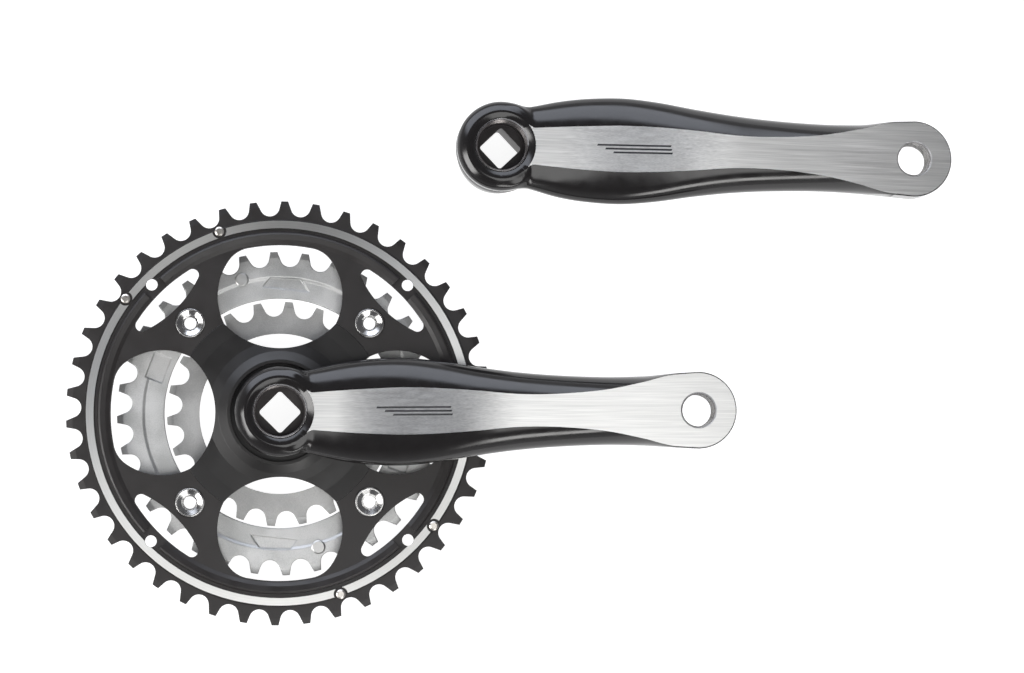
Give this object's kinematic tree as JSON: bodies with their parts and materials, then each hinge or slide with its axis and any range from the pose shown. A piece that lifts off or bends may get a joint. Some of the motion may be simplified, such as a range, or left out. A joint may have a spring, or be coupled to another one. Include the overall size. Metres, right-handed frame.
{
  "type": "bicycle crankset",
  "caption": "Triple bicycle crankset: drive-side crank arm with spider and stepped toothed chainrings, and the matching left arm lying loose beside it.",
  "frame": {"origin": "on the drive-side crank axis, in the inboard face of the boss where the spindle enters its square socket", "axes": "+Z outboard along both crank axes, +X along the drive-side crank arm towards its pedal hole, +Y completes the right-handed frame, towards the left crank arm"},
  "size_m": [0.3637, 0.2171, 0.0446],
  "materials": {
    "arm": "gloss black paint with a machined bare face",
    "spider": "satin black",
    "black_ring": "black with a machined bright band",
    "aluminium_ring": "bead-blasted",
    "steel_ring": "satin",
    "chrome": "polished",
    "plated_steel": "zinc plated"
  },
  "bodies": {
    "drive_side": {"right_crank_arm": "arm", "spider": "spider", "outer_chainring": "black_ring", "middle_chainring": "aluminium_ring", "inner_chainring": "steel_ring", "chainring_bolt_1": "chrome", "chainring_bolt_2": "chrome", "chainring_bolt_3": "chrome", "chainring_bolt_4": "chrome", "chainring_nut_1": "plated_steel", "chainring_nut_2": "plated_steel", "chainring_nut_3": "plated_steel", "chainring_nut_4": "plated_steel", "inner_ring_bolt_1": "plated_steel", "inner_ring_bolt_2": "plated_steel", "inner_ring_bolt_3": "plated_steel", "inner_ring_bolt_4": "plated_steel", "outer_shift_pin_1": "plated_steel", "outer_shift_pin_2": "plated_steel", "outer_shift_pin_3": "plated_steel", "outer_shift_pin_4": "plated_steel", "middle_shift_pin_1": "plated_steel", "middle_shift_pin_2": "plated_steel"},
    "left_arm": {"left_crank_arm": "arm"}
  },
  "joints": [
    {"name": "left_crank_lift", "type": "slide", "parent": "drive_side", "child": "left_arm", "axis": [0, 0, 1], "range_m": [0, 0.12]}
  ]
}
